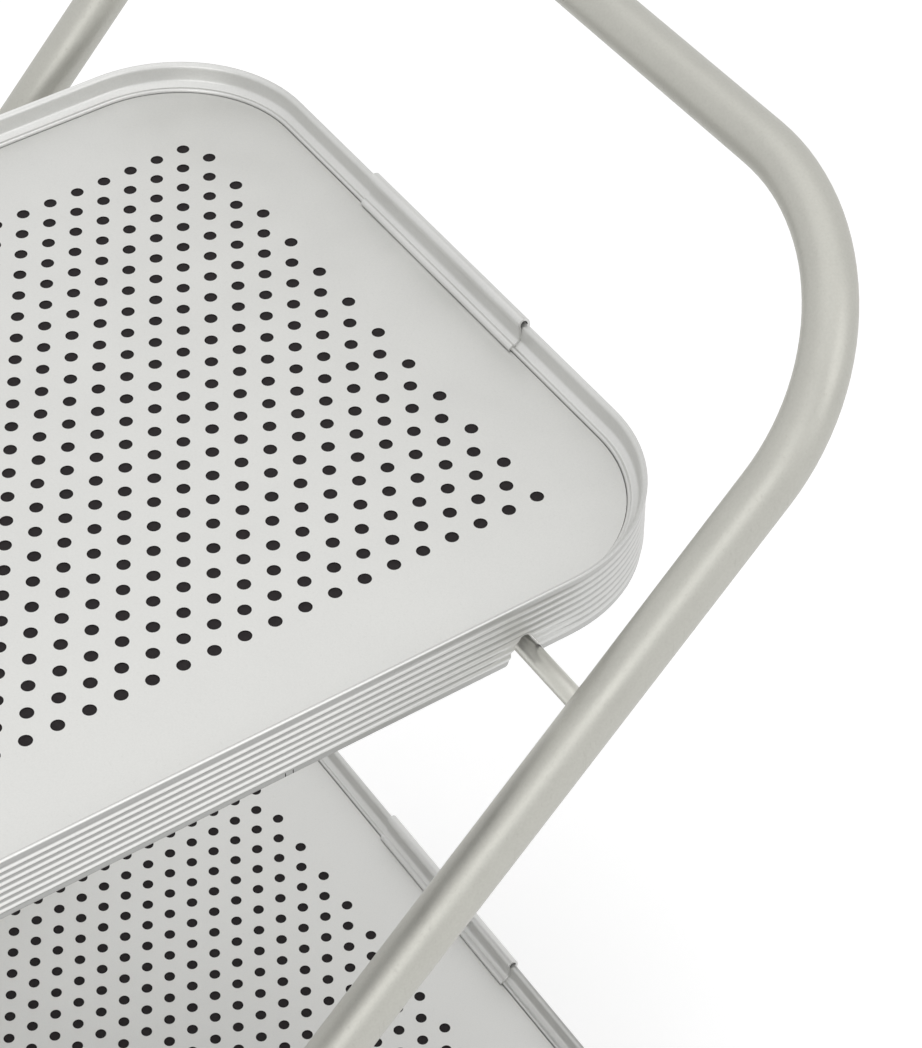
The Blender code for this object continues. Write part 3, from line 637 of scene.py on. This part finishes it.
def rim(tray):
    """The ribbed rim. The walls of its cuts, always in shade, take the dark board's finish as painted shade.
    """
    height = TRAYS[tray] + SHEET_ABOVE_ROD
    section, slots = rim_section()
    piece = swept_round(f"{tray}_rim_shown", section, EDGE_X, EDGE_Y, EDGE_RADIUS, height, slots)
    cutters = [notch(tray, end, side) for end in (1, -1) for side in (1, -1)]
    cutters += [slot(tray, y) for y in SLOT_PLACES]
    for finish in RIM_FINISHES:
        piece.data.materials.append(FINISHES[finish])
    for cutter in cutters:
        # painted shade: the cut walls take the dark board's finish
        cutter.data.polygons.foreach_set("material_index", [PAINTED_SHADE_WALL] * len(cutter.data.polygons))
    combine(piece, cutters, smooth_degrees=RIM_SMOOTH)
    stand_for(piece, f"{tray}_rim", *RIM_FINISHES[1:])


def perforations():
    """Outlines of the staggered holes: every second row is half a pitch off and one hole longer."""
    row_step = HOLE_PITCH * math.sqrt(3) / 2
    outlines = []
    for row in range(HOLE_ROWS):
        x = (row - (HOLE_ROWS - 1) / 2) * row_step
        count = HOLES_IN_ROW + row % 2
        for hole in range(count):
            centre = (x, (hole - (count - 1) / 2) * HOLE_PITCH)
            outlines.append(arc(centre, HOLE_RADIUS, 0, 360 * (1 - 1 / HOLE_SIDES), HOLE_SIDES - 1))
    return outlines


def sheet(tray):
    """The perforated sheet. The walls of its holes take the dark board's finish as painted shade."""
    outline = rounded_rectangle(EDGE_X - GAP, EDGE_Y - GAP, EDGE_RADIUS - GAP, CORNER_STEPS)
    height = TRAYS[tray] + SHEET_ABOVE_ROD - SKIN / 2
    piece = plate(f"{tray}_sheet_shown", [outline] + perforations(), SKIN, Matrix.Translation((0, 0, height)))
    stand_for(piece, f"{tray}_tray_sheet")
    piece.data.materials.append(FINISHES["dark_board"])
    for face in piece.data.polygons:
        face.use_smooth = False
        # painted shade on the walls of the holes
        if abs(face.normal.z) < 0.5:
            face.material_index = PAINTED_SHADE_WALL


def board(tray):
    """The dark board right under the sheet, seen through its holes."""
    low, top = BOARD_LOW.z - SHEET_HIGH.z, -SKIN - BOARD_GAP
    outline = rounded_rectangle(EDGE_X - GAP, EDGE_Y - GAP, EDGE_RADIUS - GAP, CORNER_STEPS)
    height = TRAYS[tray] + SHEET_ABOVE_ROD + (low + top) / 2
    piece = plate(f"{tray}_board_shown", [outline], top - low, Matrix.Translation((0, 0, height)))
    stand_for(piece, f"{tray}_tray_board")


def sleeve(tray):
    """The sheet wrapped over the rim's joint, with its rolled top edge."""
    line = eased(SLEEVE_LEDGE, 3)[:-1] + eased(SLEEVE_ROLL, 4)
    line += [(u, RIM_BOTTOM - depth) for u, depth in SLEEVE_HEM]
    height = TRAYS[tray] + SHEET_ABOVE_ROD
    vertices = [(x, EDGE_Y + u, height + z) for x in SLEEVE_ENDS for u, z in line]
    count = len(line)
    faces = [(i, i + 1, count + i + 1, count + i) for i in range(count - 1)]
    source = mesh_source(f"{tray}_sleeve", vertices, [], faces)
    wall = source.modifiers.new("wall", "SOLIDIFY")
    wall.thickness = SLEEVE_THICKNESS
    wall.offset = 0
    stand_for(baked(source, f"{tray}_sleeve_shown", SLEEVE_SMOOTH), f"{tray}_rim_sleeve")


def flange_outline():
    """The flange that both kinds of block are screwed on by."""
    right = [(BLOCK_HALF_BASE, BLOCK_TOP - BLOCK_FOOT), (BLOCK_HALF_BASE, BLOCK_TOP)]
    return right + [(-y, z) for y, z in reversed(right)]


def hinge_outline():
    outer = flange_outline() + arc((0, 0), BORE_RADIUS + BLOCK_WALL, 160, 380, 30)
    return [outer, arc((0, 0), BORE_RADIUS, 0, 355, 71)]


def hook_outline():
    outer = flange_outline() + [(-BLOCK_HALF_BASE + HOOK_SHOULDER[0], BORE_RADIUS + HOOK_SHOULDER[1])]
    outer += arc((0, 0), BORE_RADIUS, 105, 0, 20)
    back = BORE_RADIUS + BLOCK_WALL
    return [outer + [(BORE_RADIUS, -HOOK_DEPTH), (back, -HOOK_DEPTH), (back, BORE_RADIUS)]]


def block(kind, outlines, tray, end, side, label, screws):
    """A block on the board's underside, its edges rounded, and the screws in its flange."""
    place = Matrix.Translation((side * BLOCK_X, end * ROD_Y, TRAYS[tray]))
    piece = plate(f"{tray}_{kind}_{label}_shown", outlines, BLOCK_LENGTH, place @ ACROSS)
    stand_for(combine(piece, [], edge=EDGE_ROUNDING), f"{tray}_{kind}_block_{label}")
    foot = BLOCK_TOP - BLOCK_FOOT
    dome = arc((0, 0), 1, 0, -90, 6)
    profile = [(0, foot), (SCREW_RADIUS, foot)]
    profile += [(SCREW_RADIUS * r, foot + SCREW_HEIGHT * z) for r, z in dome]
    for number, (x, y) in enumerate(screws):
        seat = place @ Matrix.Translation((x, y, 0))
        screw = turned(f"{tray}_{kind}_screw_{label}_{number}", profile, seat, steps=24)
        middle = seat @ Matrix.Translation((0, 0, foot - SCREW_HEIGHT))
        arms = (rectangle(*SCREW_RECESS), rectangle(*reversed(SCREW_RECESS)))
        combine(screw, [plate("recess", [arm], SCREW_CUT, middle) for arm in arms])
        screw.data.materials.append(FINISHES["rod_and_rivet_steel"])
        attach(screw, f"{tray}_tray")


# ---------------------------------------------------------------- casters
def socket(label, foot):
    """The collar under the tube's end, with a shallow groove round it."""
    bore, edge, inner = STEM_RADIUS + GAP, EDGE_ROUNDING, TUBE_RADIUS - GROOVE_DEPTH
    top, bottom = -GAP, -GAP - COLLAR
    middle = (top + bottom) / 2
    ring = [(bore, top), (TUBE_RADIUS - edge, top), (TUBE_RADIUS, top - edge)]
    ring += [(TUBE_RADIUS, middle + GROOVE_HALF_WIDTH), (inner, middle + GAP), (inner, middle - GAP)]
    ring += [(TUBE_RADIUS, middle - GROOVE_HALF_WIDTH), (TUBE_RADIUS, bottom + edge)]
    ring += [(TUBE_RADIUS - edge, bottom), (bore, bottom)]
    stand_for(turned(f"caster_socket_{label}_shown", ring, foot, ring=True), f"caster_socket_{label}")


def fork(label, foot):
    """A folded steel fork: rounded crown, two arms that narrow to the axle, and the swivel stem."""
    crown_top = -2 * GAP - COLLAR
    crown_bottom = crown_top - FORK_CROWN
    axle_z = WHEEL_RADIUS - CASTER_HEIGHT
    boss, corner = AXLE_RADIUS + FORK_BOSS, FORK_HALF_LENGTH - FORK_ROUNDING
    outline = arc((corner, crown_top - FORK_ROUNDING), FORK_ROUNDING, 0, 90, 6)
    outline += arc((-corner, crown_top - FORK_ROUNDING), FORK_ROUNDING, 90, 165, 6)
    outline += arc((-TRAIL, axle_z), boss, 165, 330, 22) + [(FORK_HALF_LENGTH, crown_bottom - FORK_HEEL)]
    half_slot = TYRE_WIDTH / 2 + FORK_CLEARANCE
    body = plate(f"caster_fork_{label}_shown", [outline], 2 * (half_slot + FORK_PLATE), foot @ ACROSS)
    low = axle_z - 2 * boss
    inner = arc((half_slot - FORK_FOLD, crown_bottom - FORK_FOLD), FORK_FOLD, 0, 90, 4)
    window = [(half_slot, low)] + inner + [(-x, z) for x, z in reversed(inner)] + [(-half_slot, low)]
    slot_cutter = plate("fork_slot", [window], CUT_LENGTH, foot @ ALONG)
    bore, reach = AXLE_RADIUS + GAP, CUT_LENGTH / 2
    hole_place = foot @ Matrix.Translation((0, -TRAIL, axle_z)) @ TURNED_ON_X
    hole = turned("axle_hole", [(0, reach), (bore, reach), (bore, -reach), (0, -reach)], hole_place, steps=32)
    combine(body, [slot_cutter, hole], edge=EDGE_ROUNDING)
    stem_end = crown_top - FORK_HEEL
    stem = turned("stem", [(0, -GAP), (STEM_RADIUS, -GAP), (STEM_RADIUS, stem_end), (0, stem_end)], foot)
    stand_for(combine(body, [stem], "UNION"), f"caster_fork_{label}")


def wheel(label, foot):
    """The axle with its domed heads, the ribbed hub and the tyre."""
    centre = foot @ Matrix.Translation((0, -TRAIL, WHEEL_RADIUS - CASTER_HEIGHT)) @ TURNED_ON_X
    face = TYRE_WIDTH / 2 + FORK_CLEARANCE + FORK_PLATE + GAP
    end = face + AXLE_HEAD_HEIGHT
    half = [(0, end)] + [(AXLE_HEAD_RADIUS * part, end - depth) for part, depth in AXLE_HEAD]
    half += [(AXLE_HEAD_RADIUS, face), (AXLE_RADIUS, face)]
    axle = half + [(r, -z) for r, z in reversed(half)]
    stand_for(turned(f"axle_{label}_shown", axle, centre), f"axle_{label}")
    bore, rim_radius = AXLE_RADIUS + GAP, WHEEL_RADIUS - TYRE_THICKNESS
    half_hub, half_rim = TYRE_WIDTH / 2 + FORK_CLEARANCE - GAP, TYRE_WIDTH / 2 - HUB_INSET
    collar, soft, bend = HUB_COLLAR_RADIUS, HUB_COLLAR_EDGE, HUB_FILLET
    hub = [(bore, half_hub), (collar - 2 * soft, half_hub), (collar - soft, half_hub - soft)]
    hub += [(collar, HUB_HALF_WEB + bend)] + arc((collar + bend, HUB_HALF_WEB + bend), bend, 180, 270, 4)
    inside = rim_radius - HUB_RIM
    hub += [(inside - bend, HUB_HALF_WEB), (inside - EDGE_ROUNDING, HUB_HALF_WEB + bend / 2)]
    hub += [(inside, half_rim), (rim_radius, half_rim)]
    hub += [(r, -z) for r, z in reversed(hub)]
    body = turned(f"wheel_hub_{label}_shown", hub, centre, ring=True)
    spokes = []
    for i in range(SPOKES):
        start, tip, half_width = SPOKE_START, inside + SPOKE_IN_RIM, SPOKE_HALF_WIDTH
        rib = [(start, half_width), (start, -half_width), (tip, -half_width), (tip, half_width)]
        turn = Matrix.Rotation(2 * math.pi * i / SPOKES, 4, "Z")
        spokes.append(plate("spoke", [rib], 2 * (half_rim - SPOKE_INSET), centre @ turn))
    stand_for(combine(body, spokes, "UNION"), f"wheel_hub_{label}")
    inner, half_width = rim_radius + GAP, TYRE_WIDTH / 2
    side = [(inner, half_width - TYRE_BEAD[1]), (inner + TYRE_BEAD[0], half_width)]
    side += arc((WHEEL_RADIUS - TYRE_SHOULDER, half_width - TYRE_SHOULDER), TYRE_SHOULDER, 90, 12, 9)
    side.append((WHEEL_RADIUS, half_width - TYRE_FALL * TYRE_SHOULDER))
    tyre = side + [(r, -z) for r, z in reversed(side)]
    stand_for(turned(f"tyre_{label}_shown", tyre, centre, ring=True, steps=72), f"tyre_{label}")


def caster(label, x, y):
    foot = Matrix.Translation((x, y, CASTER_HEIGHT))
    socket(label, foot)
    fork(label, foot)
    wheel(label, foot)


# ---------------------------------------------------------------- the trolley
frame_tube("outer_frame_tube", 1, OUTER_X)
frame_tube("inner_frame_tube", -1, INNER_X)
cross_rod("upper_rear_rod", 1, ROD_REACH)
cross_rod("lower_front_rod", 1, -ROD_REACH)
cross_rod("upper_front_rod", -1, ROD_REACH)
cross_rod("lower_rear_rod", -1, -ROD_REACH)
for side, label in ((1, "right"), (-1, "left")):
    pivot(side, label)
    for tray in TRAYS:
        block("hinge", hinge_outline(), tray, -1, side, label, HINGE_SCREWS)
        block("hook", hook_outline(), tray, 1, side, label, HOOK_SCREWS)
    caster(f"front_{label}", side * OUTER_X, -FOOT_Y)
    caster(f"rear_{label}", side * INNER_X, FOOT_Y)
for tray in TRAYS:
    rim(tray)
    sheet(tray)
    board(tray)
    sleeve(tray)

# ---------------------------------------------------------------- camera
CAMERA_TARGET = Vector((0.089, 0.213, SHEET_HIGH.z))    # where the lens axis meets the upper sheet
CAMERA_DISTANCE = 1.299
CAMERA_ELEVATION = math.radians(44.52)
CAMERA_HEADING = math.radians(-58.55)                   # from +Y, turning towards +X
CAMERA_ROLL = math.radians(-1.61)
CAMERA_LENS = 107.31                                    # mm, on a sensor 36 mm wide
CAMERA_SHIFT = (0.0803, -0.0529)

level = Vector((math.sin(CAMERA_HEADING), math.cos(CAMERA_HEADING), 0))
forward = level * math.cos(CAMERA_ELEVATION) - Vector((0, 0, math.sin(CAMERA_ELEVATION)))
camera = bpy.data.objects.new("camera", bpy.data.cameras.new("camera"))
bpy.context.scene.collection.objects.link(camera)
turn = forward.to_track_quat("-Z", "Y") @ Matrix.Rotation(CAMERA_ROLL, 3, "Z").to_quaternion()
camera_place = Matrix.Translation(CAMERA_TARGET - forward * CAMERA_DISTANCE)
camera.matrix_world = camera_place @ turn.to_matrix().to_4x4()
camera.data.lens = CAMERA_LENS
camera.data.sensor_width = 36
camera.data.shift_x, camera.data.shift_y = CAMERA_SHIFT
camera.data.clip_end = 50
bpy.context.scene.camera = camera


# ---------------------------------------------------------------- studio
STUDIO_MIDDLE = Vector((0, 0, 0.5))
AMBIENT = 0.72                  # strength of the white surroundings, as light on things
FLOOR_HALF = 12
FLOOR_LIFT = 0.36               # glow that makes the floor white where it is seen


def soft_light(name, place, size, power):
    lamp = bpy.data.objects.new(name, bpy.data.lights.new(name, "AREA"))
    lamp.data.shape = "RECTANGLE"
    lamp.data.size, lamp.data.size_y = size, size
    lamp.data.energy = power
    aim = (STUDIO_MIDDLE - Vector(place)).to_track_quat("-Z", "Y").to_matrix().to_4x4()
    lamp.matrix_world = Matrix.Translation(place) @ aim
    bpy.context.scene.collection.objects.link(lamp)


def seen_white(tree):
    """1 for what the camera sees, directly or in metal or glass, and 0 for the light on things."""
    rays = tree.nodes.new("ShaderNodeLightPath").outputs
    clear = {0: rays["Is Camera Ray"], 1: rays["Is Transmission Ray"]}
    seen = add_node(tree, "ShaderNodeMath", "Value", clear, "MAXIMUM")
    return add_node(tree, "ShaderNodeMath", "Value", {0: seen, 1: rays["Is Glossy Ray"]}, "MAXIMUM")


soft_light("overhead", (-0.1, 0.2, 2.6), size=2.4, power=7)
soft_light("front", (1.3, -1.8, 1.6), size=1.5, power=9)
soft_light("side", (2.0, 1.1, 2.1), size=1.6, power=8)

world = bpy.data.worlds.new("studio")
bpy.context.scene.world = world
world.use_nodes = True
tree = world.node_tree
backdrop = tree.nodes["Background"]
tree.links.new(remapped(tree, seen_white(tree), (0, 1), (AMBIENT, 1)), backdrop.inputs["Strength"])
backdrop.inputs["Color"].default_value = (1, 1, 1, 1)

floor_mesh = bpy.data.meshes.new("floor")
floor_mesh.from_pydata([(x, y, 0) for x, y in rectangle(FLOOR_HALF, FLOOR_HALF)], [], [(0, 1, 2, 3)])
floor = bpy.data.objects.new("floor", floor_mesh)
bpy.context.scene.collection.objects.link(floor)
paper = bpy.data.materials.new("floor_paper")
paper.use_nodes = True
tree = paper.node_tree
shader = tree.nodes["Principled BSDF"]
shader.inputs["Base Color"].default_value = (0.85, 0.85, 0.85, 1)
shader.inputs["Roughness"].default_value = 0.9
shader.inputs["Emission Color"].default_value = (1, 1, 1, 1)
lift = add_node(tree, "ShaderNodeMath", "Value", {0: seen_white(tree), 1: FLOOR_LIFT}, "MULTIPLY")
tree.links.new(lift, shader.inputs["Emission Strength"])
floor_mesh.materials.append(paper)
bpy.context.scene.view_settings.view_transform = "Standard"
